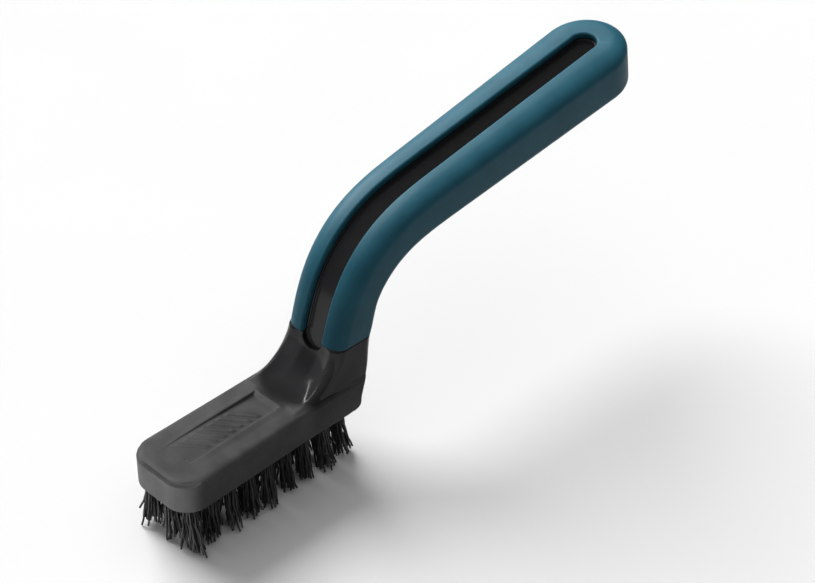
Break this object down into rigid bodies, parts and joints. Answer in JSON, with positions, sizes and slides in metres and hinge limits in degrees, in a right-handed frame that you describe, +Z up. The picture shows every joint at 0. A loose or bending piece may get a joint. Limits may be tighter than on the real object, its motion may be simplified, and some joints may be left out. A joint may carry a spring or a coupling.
{
  "type": "wire brush",
  "caption": "Gooseneck hand brush with a flat tufted head, crimped black filaments stapled in bores, and a long bent handle wrapped in a soft teal grip with a slot along its top.",
  "frame": {"origin": "under the middle of the length, on the plane of the filament tips that the brush stands on", "axes": "+X from the toe of the head to the butt of the handle, +Y across the brush, +Z up from the filament tips"},
  "size_m": [0.1968, 0.0288, 0.0966],
  "materials": {
    "core_plastic": "satin black moulding, glossier in its recesses",
    "grip_rubber": "soft-touch teal overmould, fine matt texture",
    "filament": "thick black crimped filament, semi-matt",
    "staple_steel": "flat anchor wire, satin"
  },
  "bodies": {
    "root": {"core_body": "core_plastic", "soft_grip": "grip_rubber", "tuft_01": "filament", "tuft_02": "filament", "tuft_03": "filament", "tuft_04": "filament", "tuft_05": "filament", "tuft_06": "filament", "tuft_07": "filament", "tuft_08": "filament", "tuft_09": "filament", "tuft_10": "filament", "tuft_11": "filament", "tuft_12": "filament", "tuft_13": "filament", "tuft_14": "filament", "tuft_15": "filament", "tuft_16": "filament", "tuft_17": "filament", "tuft_18": "filament", "tuft_19": "filament", "tuft_20": "filament", "tuft_21": "filament", "tuft_22": "filament", "tuft_23": "filament", "tuft_24": "filament", "tuft_25": "filament", "tuft_26": "filament", "tuft_27": "filament", "staple_01": "staple_steel", "staple_02": "staple_steel", "staple_03": "staple_steel", "staple_04": "staple_steel", "staple_05": "staple_steel", "staple_06": "staple_steel", "staple_07": "staple_steel", "staple_08": "staple_steel", "staple_09": "staple_steel", "staple_10": "staple_steel", "staple_11": "staple_steel", "staple_12": "staple_steel", "staple_13": "staple_steel", "staple_14": "staple_steel", "staple_15": "staple_steel", "staple_16": "staple_steel", "staple_17": "staple_steel", "staple_18": "staple_steel", "staple_19": "staple_steel", "staple_20": "staple_steel", "staple_21": "staple_steel", "staple_22": "staple_steel", "staple_23": "staple_steel", "staple_24": "staple_steel", "staple_25": "staple_steel", "staple_26": "staple_steel", "staple_27": "staple_steel"}
  },
  "joints": []
}
